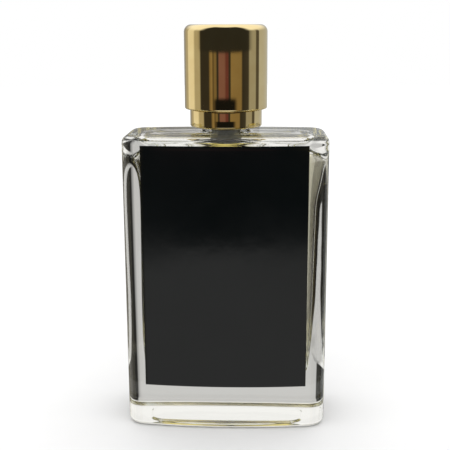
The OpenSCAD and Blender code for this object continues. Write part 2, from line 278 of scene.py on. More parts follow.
def noise_node(nt, vec, scale, detail=2.0, rough=0.5, distort=0.0):
    n = nt.nodes.new("ShaderNodeTexNoise")
    n.inputs["Scale"].default_value = scale
    n.inputs["Detail"].default_value = detail
    n.inputs["Roughness"].default_value = rough
    n.inputs["Distortion"].default_value = distort
    nt.links.new(vec, n.inputs["Vector"])
    return n.outputs["Fac"]


def ramp(nt, fac, stops):
    r = nt.nodes.new("ShaderNodeValToRGB")
    el = r.color_ramp.elements
    while len(el) > 1:
        el.remove(el[-1])
    el[0].position, el[0].color = stops[0][0], (*stops[0][1], 1)
    for pos, col in stops[1:]:
        e = el.new(pos)
        e.color = (*col, 1)
    nt.links.new(fac, r.inputs["Fac"])
    return r.outputs["Color"]


def map_range(nt, fac, a, b, c, d):
    n = nt.nodes.new("ShaderNodeMapRange")
    for k, v in zip(("From Min", "From Max", "To Min", "To Max"), (a, b, c, d)):
        n.inputs[k].default_value = v
    nt.links.new(fac, n.inputs["Value"])
    return n.outputs["Result"]


def bump(nt, p, height, strength, dist):
    b = nt.nodes.new("ShaderNodeBump")
    b.inputs["Strength"].default_value = strength
    b.inputs["Distance"].default_value = dist
    nt.links.new(height, b.inputs["Height"])
    nt.links.new(b.outputs["Normal"], p.inputs["Normal"])
    return b


def gold_material(name, base, dark, roughness=0.06):
    m, nt, p, out = material(name)
    vec = coords(nt)
    p.inputs["Metallic"].default_value = 1.0
    n1 = noise_node(nt, vec, 260.0, 3.0)
    col = ramp(nt, n1, [(0.35, dark), (0.65, base)])
    nt.links.new(col, p.inputs["Base Color"])
    # lightly handled polish: soft smears and fine turning marks
    n2 = noise_node(nt, coords(nt, (1, 1, 0.4)), 180.0, 4.0, 0.6)
    nt.links.new(map_range(nt, n2, 0.3, 0.75, roughness * 0.6, roughness * 1.7),
                 p.inputs["Roughness"])
    n3 = noise_node(nt, coords(nt, (0.15, 0.15, 1)), 9000.0, 2.0)
    bump(nt, p, n3, 0.02, 0.00002)
    return m


def plastic_material(name, base, var, roughness=0.4, grain=2500.0, strength=0.05):
    m, nt, p, out = material(name)
    vec = coords(nt)
    n1 = noise_node(nt, vec, 400.0, 3.0)
    nt.links.new(ramp(nt, n1, [(0.3, base), (0.7, var)]), p.inputs["Base Color"])
    n2 = noise_node(nt, vec, 900.0, 2.0)
    nt.links.new(map_range(nt, n2, 0.3, 0.7, roughness * 0.85, roughness * 1.15),
                 p.inputs["Roughness"])
    bump(nt, p, noise_node(nt, vec, grain, 3.0), strength, 0.00005)
    return m


def steel_material(name, base, dark, roughness=0.25):
    m, nt, p, out = material(name)
    p.inputs["Metallic"].default_value = 1.0
    n1 = noise_node(nt, coords(nt), 700.0, 3.0)
    nt.links.new(ramp(nt, n1, [(0.3, dark), (0.7, base)]), p.inputs["Base Color"])
    n2 = noise_node(nt, coords(nt, (1, 1, 6)), 900.0, 3.0)
    nt.links.new(map_range(nt, n2, 0.3, 0.7, roughness * 0.8, roughness * 1.3),
                 p.inputs["Roughness"])
    bump(nt, p, noise_node(nt, coords(nt, (0.2, 0.2, 1)), 6000.0, 2.0), 0.05, 0.00003)
    return m


GOLD = gold_material("gold_polished", (0.80, 0.66, 0.36), (0.76, 0.61, 0.32), 0.025)
GOLD_HEAD = gold_material("gold_head", (0.80, 0.66, 0.36), (0.76, 0.61, 0.32), 0.09)
BLACK_PLASTIC = plastic_material("black_plastic", (0.012, 0.012, 0.013), (0.02, 0.02, 0.021), 0.38)
WHITE_PLASTIC = plastic_material("white_plastic", (0.72, 0.72, 0.70), (0.78, 0.78, 0.76), 0.35)
NATURAL_PLASTIC = plastic_material("natural_plastic", (0.62, 0.64, 0.62), (0.70, 0.71, 0.69), 0.42)
GASKET = plastic_material("gasket_rubber", (0.50, 0.50, 0.46), (0.57, 0.57, 0.53), 0.6)
ALUMINIUM = steel_material("bright_aluminium", (0.80, 0.80, 0.79), (0.70, 0.70, 0.70), 0.22)
STEEL = steel_material("spring_steel", (0.62, 0.62, 0.63), (0.50, 0.50, 0.52), 0.2)

# clear flint glass
GLASS, nt, p, out = material("flint_glass")
p.inputs["Base Color"].default_value = (1.0, 1.0, 1.0, 1)
p.inputs["Roughness"].default_value = 0.0
p.inputs["IOR"].default_value = 1.51
p.inputs["Transmission Weight"].default_value = 1.0
vec = coords(nt)
bump(nt, p, noise_node(nt, vec, 55.0, 2.0), 0.10, 0.0002)
ab = nt.nodes.new("ShaderNodeVolumeAbsorption")
ab.inputs["Color"].default_value = (0.86, 0.90, 0.86, 1)
ab.inputs["Density"].default_value = 12.0
nt.links.new(ab.outputs["Volume"], out.inputs["Volume"])

# pale yellow liquid
LIQUID, nt, p, out = material("fragrance_liquid")
p.inputs["Base Color"].default_value = (1.0, 1.0, 1.0, 1)
p.inputs["Roughness"].default_value = 0.0
p.inputs["IOR"].default_value = 1.36
p.inputs["Transmission Weight"].default_value = 1.0
ab = nt.nodes.new("ShaderNodeVolumeAbsorption")
ab.inputs["Color"].default_value = (0.95, 0.85, 0.20, 1)
ab.inputs["Density"].default_value = 28.0
nt.links.new(ab.outputs["Volume"], out.inputs["Volume"])

# glossy black lacquer of the panel
LACQUER, nt, p, out = material("black_lacquer")
vec = coords(nt)
n1 = noise_node(nt, vec, 45.0, 4.0, 0.55)
nt.links.new(ramp(nt, n1, [(0.3, (0.0014, 0.0022, 0.0024)), (0.75, (0.0024, 0.0034, 0.0036))]),
             p.inputs["Base Color"])
n2 = noise_node(nt, vec, 28.0, 5.0, 0.6)
nt.links.new(map_range(nt, n2, 0.3, 0.75, 0.06, 0.16), p.inputs["Roughness"])
p.inputs["Specular IOR Level"].default_value = 0.35
p.inputs["IOR"].default_value = 1.5
bump(nt, p, noise_node(nt, vec, 160.0, 3.0), 0.06, 0.0002)

# back and edges of the panel, bonded to the glass
INK, nt, p, out = material("black_ink")
n1 = noise_node(nt, coords(nt), 120.0, 3.0)
nt.links.new(ramp(nt, n1, [(0.3, (0.0020, 0.0024, 0.0024)), (0.75, (0.004, 0.0045, 0.0045))]),
             p.inputs["Base Color"])
p.inputs["Roughness"].default_value = 0.6
p.inputs["Specular IOR Level"].default_value = 0.0

# clear extruded tube, lying in the liquid
TUBE, nt, p, out = material("tube_plastic")
n1 = noise_node(nt, coords(nt, (1, 1, 0.2)), 700.0, 3.0)
nt.links.new(ramp(nt, n1, [(0.3, (0.86, 0.88, 0.84)), (0.7, (0.93, 0.94, 0.91))]),
             p.inputs["Base Color"])
p.inputs["Roughness"].default_value = 0.30
p.inputs["IOR"].default_value = 1.12
p.inputs["Transmission Weight"].default_value = 0.65
bump(nt, p, noise_node(nt, coords(nt, (1, 1, 0.1)), 1500.0, 2.0), 0.1, 0.00005)

# ---------------------------------------------------------------------- flacon
HW, HD = BODY_W / 2, BODY_D / 2
CD, CB = HD - FACE_WALL, 1.5
CR_LEFT, CR_RIGHT = 6.6, 5.2             # upright corners of the inside
CZ0, CZ1 = FLOOR_T, BODY_H - ROOF_T
ROOF_R, FLOOR_R = 4.5, 5.0
DOME = 1.6                              # how far the roof rises towards the neck

# half widths of the blown inside against height. The glass settled a little
# thicker on one side than on the other.
RIGHT_IN = [(12.0, 22.4), (23.0, 23.1), (35.0, 23.45), (52.0, 23.6), (63.0, 23.75),
            (68.5, 24.25), (74.0, 24.5), (84.0, 24.6)]
LEFT_IN = [(12.0, 22.2), (23.0, 22.9), (35.0, 23.0), (52.0, 22.8), (63.0, 22.75),
           (68.5, 22.95), (72.0, 23.6), (75.0, 24.3), (84.0, 24.6)]


def table_at(table, z):
    for (z0, v0), (z1, v1) in zip(table, table[1:]):
        if z <= z1:
            return v0 + (v1 - v0) * (z - z0) / (z1 - z0)
    return table[-1][1]


def soft_at(table, z):
    return sum(table_at(table, z + k) for k in (-2.0, -1.0, 0.0, 1.0, 2.0)) / 5.0


def cavity_ring(z, grow=0.0):
    """Ring of the space inside the glass at height z, pushed out by grow."""
    s, sd = 0.0, 0.0
    if z > CZ1 - ROOF_R:
        t = min(1.0, (z - (CZ1 - ROOF_R)) / ROOF_R)
        s = ROOF_R * (1 - math.sqrt(1.0 - t * t))
    if z < CZ0 + FLOOR_R * 0.9:
        t = min(1.0, (CZ0 + FLOOR_R * 0.9 - z) / (FLOOR_R * 0.9))
        s = FLOOR_R * (1 - math.sqrt(1.0 - t * t))
    wl, wr = soft_at(LEFT_IN, z) - s + grow, soft_at(RIGHT_IN, z) - s + grow
    d = CD - s + grow
    left = outline(wl, d, CB, max(CR_LEFT - s, 1.2))
    right = outline(wr, d, CB, max(CR_RIGHT - s, 1.2))
    out = []
    for (xl, yl), (xr, yr) in zip(left, right):
        x, y, w = (xr, yr, wr) if xr > 0 else (xl, yl, wl)
        n = Vector((x * d / w, y * w / d, 0)).normalized()
        k = wave(x, y, z, 0.08, 12.0, 3.1) + wave(x, y, z, 0.02, 5.0, 7.7)
        k *= min(1.0, max(0.0, (z - CZ0) / 4)) * min(1.0, max(0.0, (CZ1 - z) / 4))
        out.append((x + n.x * k, y + n.y * k, z))
    return out


LEVELS = [CZ1 - ROOF_R * (1 - math.cos(math.pi / 2 * i / 14)) for i in range(14)]
LEVELS += [CZ1 - ROOF_R + (CZ0 + FLOOR_R * 0.9 - CZ1 + ROOF_R) * i / 40 for i in range(40)]
LEVELS += [CZ0 + FLOOR_R * 0.9 * (1 - math.sin(math.pi / 2 * i / 12)) for i in range(13)]
LEVELS = sorted(set(LEVELS + [FILL_Z]), reverse=True)


def cavity_rings(grow=0.0, top=None):
    """Rings of the inside from the roof, or from the height top, to the floor."""
    rings = []
    for z in LEVELS:
        if top is not None and z > top:
            continue
        low = grow if z < CZ0 + FLOOR_R * 0.9 - 0.01 else 0.0
        rings.append([(x, y, z - low) for x, y, _ in cavity_ring(z, grow)])
    return rings


def floor_rings(last, z, crown=0.3, steps=8):
    """Rings that close the floor from its rounding to the middle."""
    out = []
    for i in range(1, steps):
        t = i / steps
        c = crown * math.sin(t * math.pi / 2) ** 2
        out.append([(x * (1 - t), y * (1 - t), z + c) for x, y, _ in last])
    out.append([(0.0, 0.0, z + crown)])
    return out


def flacon_rings():
    rings = []
    # recess in the foot
    rw, rd, rr = HW - 6.2, HD - 5.6, 4.5
    rings.append([(0.0, 0.0, PUSH_UP + 0.25)])
    for t, z in ((0.3, PUSH_UP + 0.23), (0.6, PUSH_UP + 0.16), (0.85, PUSH_UP + 0.04)):
        rings.append([(x * t, y * t, z) for x, y in outline(rw - 1.2, rd - 1.2, 0.4, rr - 1.2)])
    for i in range(0, 9):
        a = i / 8
        s = 1.2 * (1 - a)
        z = PUSH_UP * 0.5 * (1 + math.cos(math.pi * a))
        rings.append(ring_outline(rw - s, rd - s, 0.4, rr - s, z))
    # standing rim, then the rounding of the foot
    rings.append(ring_outline(rw + 0.3, rd + 0.3, 0.45, rr + 0.3, 0.0))
    rings.append(ring_outline(HW - FOOT_R - 0.06, HD - FOOT_R - 0.06, BOW, CORNER_R - FOOT_R, 0.0))
    for i in range(0, 15):
        a = math.pi / 2 * i / 14
        s = FOOT_R * (1 - math.sin(a))
        rings.append(ring_outline(HW - s, HD - s, BOW, CORNER_R - s, FOOT_R * (1 - math.cos(a))))
    z0, z1 = FOOT_R, BODY_H - SHOULDER_R
    n = 40
    rings.append(ring_outline(HW, HD, BOW, CORNER_R, z0 + 0.06))
    for i in range(1, n):
        rings.append(ring_outline(HW, HD, BOW, CORNER_R, z0 + (z1 - z0) * i / n))
    rings.append(ring_outline(HW, HD, BOW, CORNER_R, z1 - 0.06))
    # rounding of the shoulder: tightest at the edge, and it eases into the top
    top_z, wide = BODY_H - 0.16, SHOULDER_R * 1.25
    for i in range(0, 21):
        a = math.pi / 2 * i / 20
        s = wide * (1 - math.cos(a) ** 0.86)
        rings.append(ring_outline(HW - s, HD - s, BOW, CORNER_R - s,
                                  z1 + (top_z - z1) * math.sin(a) ** 0.86))
    rim = ring_outline(HW - wide - 0.08, HD - wide - 0.08, BOW, CORNER_R - wide - 0.08, top_z)
    rings.append(rim)
    # the top crowns very slightly on its way to the foot of the neck
    nr, nf = NECK_D / 2, 0.9
    hub = ring_circle(nr + nf + 0.05, BODY_H)
    for t in (0.1, 0.22, 0.35, 0.5, 0.65, 0.8, 0.92, 1.0):
        rings.append(ring_mix(rim, hub, t, top_z + 0.16 * math.sin(t * math.pi / 2)))
    for i in range(0, 10):
        a = math.pi / 2 * i / 9
        rings.append(ring_circle(nr + nf * (1 - math.sin(a)), BODY_H + nf * (1 - math.cos(a))))
    br = BEAD_D / 2
    for r, z in ((nr, 83.6), (nr, 83.9), (nr + 0.1, 84.05), (br - 0.15, 84.62), (br - 0.03, 84.75),
                 (br, 84.95), (br, NECK_TOP - 0.55), (br - 0.06, NECK_TOP - 0.3),
                 (br - 0.22, NECK_TOP - 0.1), (br - 0.5, NECK_TOP)):
        rings.append(ring_circle(r, z))
    bo = BORE_D / 2
    for r, z in ((bo + 0.4, NECK_TOP), (bo + 0.12, NECK_TOP - 0.1), (bo, NECK_TOP - 0.4)):
        rings.append(ring_circle(r, z))
    # bore, which runs out into the domed roof
    mz, mr = CZ1 + DOME, 1.3
    for i in range(1, 6):
        rings.append(ring_circle(bo, NECK_TOP - 0.4 + (mz + mr - NECK_TOP + 0.4) * i / 5))
    for i in range(1, 9):
        a = math.pi / 2 * i / 8
        rings.append(ring_circle(bo + mr * (1 - math.cos(a)), mz + mr * (1 - math.sin(a))))
    inner = cavity_rings()
    mouth = ring_circle(bo + mr + 0.05, mz)
    rings.append(mouth)
    for t in (0.08, 0.18, 0.3, 0.42, 0.54, 0.66, 0.78, 0.88, 0.96):
        rings.append(ring_mix(mouth, inner[0], t, CZ1 + DOME * 0.5 * (1 + math.cos(math.pi * t))))
    rings += inner
    rings += floor_rings(inner[-1], CZ0)
    return rings


flacon = skin("glass_flacon", flacon_rings(), GLASS, "flacon")
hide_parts("bottle")


def liquid_rings():
    g = 0.05
    side = cavity_rings(grow=g, top=FILL_Z)
    rings = [[(0.0, 0.0, FILL_Z - 0.35)]]
    edge = side[0]
    # surface with a small meniscus that climbs the glass
    for t in (0.2, 0.4, 0.6, 0.75, 0.85, 0.91, 0.95, 0.975, 0.99):
        climb = 0.35 * math.exp(-(1 - t) * 24)
        rings.append([(x * t, y * t, FILL_Z - 0.35 + climb) for x, y, _ in edge])
    rings += side
    rings += floor_rings(side[-1], CZ0 - g)
    return rings


liquid = skin("fragrance", liquid_rings(), LIQUID, "flacon")
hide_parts("liquid")

# ----------------------------------------------------------------- front panel
def panel():
    verts, faces = [], []
    nx, nz = 48, 60
    hw = PANEL_W / 2
    e = 0.10                                   # eased front edge

    def put(x, z, depth):
        verts.append((x, -bow_y(x, HW, HD, BOW) - PANEL_PROUD + depth, z))
        return len(verts) - 1

    def grid(inset, depth, flip):
        x0, x1 = -hw + inset, hw - inset
        z0, z1 = PANEL_Z0 + inset, PANEL_Z1 - inset
        g = [[put(x0 + (x1 - x0) * i / nx, z0 + (z1 - z0) * j / nz, depth)
              for i in range(nx + 1)] for j in range(nz + 1)]
        for j in range(nz):
            for i in range(nx):
                q = (g[j][i], g[j][i + 1], g[j + 1][i + 1], g[j + 1][i])
                faces.append(q if not flip else q[::-1])
        return g

    def border(g):
        b = [g[0][i] for i in range(nx)]
        b += [g[j][nx] for j in range(nz)]
        b += [g[nz][i] for i in range(nx, 0, -1)]
        b += [g[j][0] for j in range(nz, 0, -1)]
        return b

    front = grid(e, 0.0, False)
    loops = [border(front)]
    for k in range(1, 5):
        a = math.pi / 2 * k / 4
        ins = e * (1 - math.sin(a))
        dep = e * (1 - math.cos(a))
        loop = []
        for v in loops[0]:
            x, y, z = verts[v]
            fx = x * (hw - ins) / (hw - e)
            zc = (PANEL_Z0 + PANEL_Z1) / 2
            hz = (PANEL_Z1 - PANEL_Z0) / 2
            fz = zc + (z - zc) * (hz - ins) / (hz - e)
            loop.append(put(fx, fz, dep))
        loops.append(loop)
    n_front = len(faces)
    back = grid(0.0, PANEL_T, True)
    n_back = len(faces)
    loops.append(border(back))
    for a, b in zip(loops, loops[1:]):
        n = len(a)
        for k in range(n):
            k2 = (k + 1) % n
            faces.append((a[k], b[k], b[k2], a[k2]))
    obj = new_object("lacquer_panel", verts, faces, LACQUER, "flacon", 50.0)
    obj.data.materials.append(INK)
    # back face takes the bonded finish
    for poly in obj.data.polygons:
        c = poly.center
        depth = c.y / MM + bow_y(c.x / MM, HW, HD, BOW) + PANEL_PROUD
        if depth > 0.12:
            poly.material_index = 1
    return obj


plate = panel()
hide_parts("front_panel")

# ------------------------------------------------------------ collar and ferrule
collar = lathe("gold_collar", rounded([
    (8.77, COLLAR_Z0, 0.1), (COLLAR_D / 2, COLLAR_Z0, 0.45), (COLLAR_D / 2, LEDGE_Z, 0.3),
    (8.72, LEDGE_Z, 0.08), (8.72, COLLAR_Z1, 0.4), (6.7, COLLAR_Z1, 0.2),
    (6.7, FERRULE_Z1 + 0.95, 0.05), (8.22, FERRULE_Z1 + 0.95, 0.05),
    (8.22, LEDGE_Z - 0.68, 0.05), (8.77, LEDGE_Z - 0.68, 0.05)], steps=7), GOLD, "flacon", 256)
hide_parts("collar")

sleeve = lathe("collar_sleeve_ring", rounded([
    (8.0, 84.1), (8.35, 83.7), (8.75, 83.7), (8.75, LEDGE_Z - 0.7), (8.2, LEDGE_Z - 0.7),
    (8.2, FERRULE_Z1 + 0.9), (7.0, FERRULE_Z1 + 0.9), (7.0, FERRULE_Z1 + 0.02),
    (8.0, FERRULE_Z1 + 0.02)], default=0.06, steps=3), BLACK_PLASTIC, "flacon", 128)
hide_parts("collar_sleeve")

ferrule = lathe("crimp_ferrule", rounded([
    (6.75, 83.5), (7.1, 83.35), (7.75, 83.8), (7.95, 84.4), (7.95, FERRULE_Z1 - 0.5, 0.3),
    (7.45, FERRULE_Z1, 0.3), (3.3, FERRULE_Z1, 0.1), (3.3, GLAND_Z1 + 0.02, 0.05),
    (7.3, GLAND_Z1 + 0.02, 0.1), (7.55, GLAND_Z1 - 0.3, 0.1), (7.55, 84.6), (7.3, 84.2)],
    default=0.08, steps=3), ALUMINIUM, "flacon", 160)
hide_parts("ferrule")

# --------------------------------------------------------------------- the cap
cr, cz0 = CAP_D / 2, LEDGE_Z + 0.05
cap = lathe("gold_cap", rounded([
    (10.0, cz0 + 0.1, 0.05), (10.1, cz0, 0.05), (cr, cz0, CAP_LIP_R), (cr, CAP_TOP, CAP_EDGE_R),
    (0.0, CAP_TOP, 0), (0.0, CAP_TOP - 0.9, 0), (cr - 1.5, CAP_TOP - 0.9, 0.1),
    (cr - 1.0, CAP_TOP - 1.4, 0.1), (cr - 1.0, cz0 + 1.0, 0.1), (10.0, cz0 + 0.7, 0.1)],
    steps=12), GOLD, "cap", 320)
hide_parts("cap_shell")


def liner():
    r = CAP_D / 2 - 1.02
    zt = CAP_TOP - 0.92
    obj = lathe("cap_liner_cup", rounded([
        (9.0, cz0, 0.15), (9.9, cz0, 0.1), (9.9, cz0 + 1.02), (r, cz0 + 1.3), (r, cz0 + 2.0),
        (9.9, cz0 + 2.0), (9.9, zt - 0.9), (r - 0.6, zt - 0.9), (r - 0.6, zt), (0.0, zt, 0),
        (0.0, zt - 0.9, 0), (9.0, zt - 0.9, 0.5)], default=0.06, steps=4),
        BLACK_PLASTIC, "cap", 180)
    # six grip ribs, each a small rounded bar that grows out of the wall
    bm = bmesh.new()
    bm.from_mesh(obj.data)
    for k in range(6):
        a0 = math.radians(60 * k + 30)
        half, r_in, r_out = 0.6, 8.77, 9.15
        za, zb = cz0 + 0.6, cz0 + 8.4
        sect = []
        for j in range(9):
            t = math.pi * j / 8
            sect.append((r_out - (r_out - r_in) * math.sin(t) ** 0.6, -half * math.cos(t)))
        cols = []
        for z, shrink in ((za, 1.0), (za + 0.15, 0.35), (za + 0.5, 0.0),
                          (zb - 0.5, 0.0), (zb - 0.15, 0.35), (zb, 1.0)):
            col = []
            for rr_, tt in sect:
                rad = rr_ + (r_out - rr_) * shrink * 0.9
                x = rad * math.cos(a0) - tt * math.sin(a0)
                y = rad * math.sin(a0) + tt * math.cos(a0)
                col.append(bm.verts.new((x * MM, y * MM, z * MM)))
            cols.append(col)
        for c0, c1 in zip(cols, cols[1:]):
            m_ = len(c0)
            for j in range(m_):
                j2 = (j + 1) % m_
                bm.faces.new((c0[j], c0[j2], c1[j2], c1[j]))
        bm.faces.new(cols[0][::-1])
        bm.faces.new(cols[-1])
    bmesh.ops.recalc_face_normals(bm, faces=bm.faces)
    bm.to_mesh(obj.data)
    bm.free()
    obj.data.shade_smooth()
    obj.data.set_sharp_from_angle(angle=math.radians(35))
    return obj


cup = liner()
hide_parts("cap_liner")

# ------------------------------------------------------------------ spray head
def spray_shell():
    """Gold shell with a round window for the nozzle."""
    prof = rounded([(5.85, HEAD_Z0 + 0.05, 0.08), (HEAD_D / 2, HEAD_Z0 + 0.05, 0.15),
                    (HEAD_D / 2, HEAD_TOP, 0.9), (0.0, HEAD_TOP, 0), (0.0, HEAD_TOP - 0.45, 0),
                    (5.85, HEAD_TOP - 0.45, 0.1)], steps=8)
    obj = lathe("spray_head_shell", prof, GOLD_HEAD, None, 200)
    cutter = lathe("window_cutter", [(0, 0), (1.62, 0), (1.62, 10), (0, 10)], None, None, 64)
    cutter.rotation_euler = (math.radians(90), 0, 0)
    cutter.location = (0, 0, (HEAD_TOP - 2.7) * MM)
    mod = obj.modifiers.new("window", "BOOLEAN")
    mod.operation = "DIFFERENCE"
    mod.solver = "EXACT"
    mod.object = cutter
    dg = bpy.context.evaluated_depsgraph_get()
    bpy.context.view_layer.update()
    dg.update()
    mesh = bpy.data.meshes.new_from_object(obj.evaluated_get(dg))
    obj.modifiers.clear()
    old = obj.data
    obj.data = mesh
    bpy.data.meshes.remove(old)
    cm = cutter.data
    bpy.data.objects.remove(cutter)
    bpy.data.meshes.remove(cm)
    mesh.shade_smooth()
    mesh.set_sharp_from_angle(angle=math.radians(35))
    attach(obj, "spray_head")
    return obj


head = spray_shell()
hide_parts("actuator_shell")


# ------------------------------------------------------------------------ pump
def piece(name, profile, mat, body, node, seg=128, steps=4, default=0.08):
    obj = lathe(name, rounded(profile, default=default, steps=steps), mat, body, seg)
    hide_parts(node)
    return obj


gasket = piece("neck_seal", [(4.3, NECK_TOP), (7.2, NECK_TOP), (7.2, GASKET_Z1),
                             (4.3, GASKET_Z1)], GASKET, "flacon", "neck_gasket",
               default=0.2)

BARREL_Z0, SEAT_Z, TAIL_Z0, TUBE_TOP = 67.0, 70.0, 60.0, 65.2
housing = piece("pump_barrel", [
    (2.1, TAIL_Z0, 0.15), (2.1, BARREL_Z0 - 2.0, 0.6), (3.9, BARREL_Z0, 0.3),
    (4.15, BARREL_Z0 + 1.0, 0.3), (4.15, GASKET_Z1, 0.1), (7.1, GASKET_Z1, 0.12),
    (7.1, FLANGE_Z1, 0.12), (4.3, FLANGE_Z1, 0.1), (3.05, FLANGE_Z1 - 1.25, 0.1),
    (3.05, SEAT_Z, 0.15), (0.75, SEAT_Z, 0.1), (0.75, 69.3, 0.02), (1.35, 69.3, 0.1),
    (1.35, 66.6, 0.2), (0.6, 66.6, 0.05), (0.6, TUBE_TOP, 0.02), (TUBE_D / 2, TUBE_TOP, 0.03),
    (TUBE_D / 2, TAIL_Z0, 0.1)], NATURAL_PLASTIC, "flacon", "pump_housing",
    144)

gland = piece("barrel_gland", [
    (1.55, FLANGE_Z1 - 1.2, 0.05), (3.02, FLANGE_Z1 - 1.2, 0.15), (3.02, FLANGE_Z1 + 0.02, 0.04),
    (7.1, FLANGE_Z1 + 0.02, 0.1), (7.1, GLAND_Z1, 0.15), (3.2, GLAND_Z1, 0.05),
    (3.2, GLAND_Z1 + 1.3, 0.25), (1.55, GLAND_Z1 + 1.3, 0.15)], WHITE_PLASTIC, "flacon",
    "gland", 128)

PISTON_Z = 84.0
piston = piece("piston_seal", [
    (1.1, PISTON_Z + 0.4), (2.0, PISTON_Z + 0.4), (2.6, PISTON_Z), (3.0, PISTON_Z),
    (3.0, PISTON_Z + 0.7), (2.8, PISTON_Z + 1.0), (2.8, PISTON_Z + 2.2), (3.0, PISTON_Z + 2.5),
    (3.0, PISTON_Z + 3.1), (2.6, PISTON_Z + 3.1), (2.2, PISTON_Z + 1.9), (1.1, PISTON_Z + 1.9)],
    NATURAL_PLASTIC, "piston_ring", "piston", 96)

stem = piece("spray_stem", [
    (0.9, 86.9, 0.05), (1.45, 86.9, 0.1), (1.45, 87.75, 0.05), (2.6, 87.75, 0.12),
    (2.6, FLANGE_Z1 - 1.25, 0.15), (1.5, FLANGE_Z1 - 1.25, 0.15), (1.5, HEAD_TOP - 3.4, 0.2),
    (0.5, HEAD_TOP - 3.4, 0.12), (0.5, 89.0, 0.02), (0.9, 89.0, 0.02)], WHITE_PLASTIC,
    "plunger", "stem", 96)

ball = lathe("inlet_ball", [(0.0 if k in (0, 32) else math.sin(math.pi * k / 32),
                             67.42 - math.cos(math.pi * k / 32)) for k in range(33)],
             STEEL, "inlet_ball", 64, closed=False)
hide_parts("check_ball")


def spring(name, od, wire, turns, z0, height, node, per_turn=40, sides=12):
    """Compression spring with closed ends."""
    e = wire * 1.06
    run = height - wire - 2 * e

    def level(u):
        if u < 1.0:
            return wire / 2 + e * u
        if u > turns - 1.0:
            return height - wire / 2 - e * (turns - u)
        t = (u - 1.0) / (turns - 2.0)
        return wire / 2 + e + run * t
    r = (od - wire) / 2
    verts, faces = [], []
    steps = int(turns * per_turn)
    for i in range(steps + 1):
        u = i / per_turn
        a = 2 * math.pi * u
        # the cut ends are eased
        k = min(1.0, 0.55 + 0.45 * min(i, steps - i) / 2.0)
        for j in range(sides):
            c = 2 * math.pi * j / sides
            rr = r + wire / 2 * k * math.cos(c)
            verts.append((rr * math.cos(a), rr * math.sin(a),
                          z0 + level(u) + wire / 2 * k * math.sin(c)))
    for i in range(steps):
        for j in range(sides):
            a, b = i * sides + j, i * sides + (j + 1) % sides
            faces.append((a, b, b + sides, a + sides))
    faces.append(tuple(range(sides))[::-1])
    faces.append(tuple(steps * sides + j for j in range(sides)))
    obj = new_object(name, verts, faces, STEEL, None, 50.0)
    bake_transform(obj)
    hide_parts(node)
    return obj


spring("return_spring", 4.9, 0.5, 8, SEAT_Z + 0.02, 81.6 - SEAT_Z - 0.02, "main_spring")
spring("piston_spring", 3.6, 0.24, 4, PISTON_Z + 1.92, 87.73 - PISTON_Z - 1.92,
       "precompression_spring")


def dip_tube():
    """Thin clear tube: straight below the pump, then a slight set to one side."""
    bend, radius = 52.0, 260.0
    a_end = math.asin((bend - CZ0 - 1.6) / radius)
    path = [((0.0, TUBE_TOP), 0.0)]
    for i in range(1, 9):
        path.append(((0.0, TUBE_TOP + (bend - TUBE_TOP) * i / 8), 0.0))
    for i in range(1, 41):
        a = a_end * i / 40
        path.append(((radius * (1 - math.cos(a)), bend - radius * math.sin(a)), a))
    sides = 32
    verts, faces = [], []
    wall = [(TUBE_D / 2, 0), (TUBE_D / 2 - 0.5, 1)]
    n = len(path)
    for rad, _ in wall:
        for (x, z), a in path:
            for k in range(sides):
                c = 2 * math.pi * k / sides
                lx, ly = rad * math.cos(c), rad * math.sin(c)
                verts.append((x + lx * math.cos(a), ly, z + lx * math.sin(a)))
    m_ = n * sides
    for i in range(n - 1):
        for k in range(sides):
            k2 = (k + 1) % sides
            a, b = i * sides + k, i * sides + k2
            faces.append((a, b, b + sides, a + sides))
            faces.append((m_ + a, m_ + a + sides, m_ + b + sides, m_ + b))
    for k in range(sides):
        k2 = (k + 1) % sides
        faces.append((k, m_ + k, m_ + k2, k2))
        e = (n - 1) * sides
        faces.append((e + k, e + k2, m_ + e + k2, m_ + e + k))
    obj = new_object("suction_tube", verts, faces, TUBE, "flacon", 40.0)
    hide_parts("dip_tube")
    return obj


dip_tube()


def nozzle():
    """Swirl insert with its small orifice, set in the front of the head."""
    prof = rounded([(0.0, 1.6, 0), (0.7, 1.6, 0.05), (0.7, 0.0, 0.08), (1.55, 0.0, 0.15),
                    (1.55, 2.75, 0.25), (0.75, 2.75, 0.12), (0.62, 2.38, 0.06),
                    (0.20, 2.33, 0.03), (0.18, 2.0, 0), (0.0, 2.0, 0)], default=0.05, steps=4)
    obj = lathe("nozzle_disc", prof, BLACK_PLASTIC, None, 72, closed=False)
    obj.data.transform(Matrix.Translation((0, -3.25 * MM, (HEAD_TOP - 2.7) * MM))
                       @ Matrix.Rotation(math.pi / 2, 4, "X"))
    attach(obj, "spray_head")
    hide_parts("nozzle_insert")
    return obj


nozzle()

for node, mat in (("actuator", BLACK_PLASTIC), ("valve_pin", WHITE_PLASTIC)):
    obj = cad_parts[node]
    for s in obj.material_slots:
        s.material = mat
    if not obj.material_slots:
        obj.data.materials.append(mat)

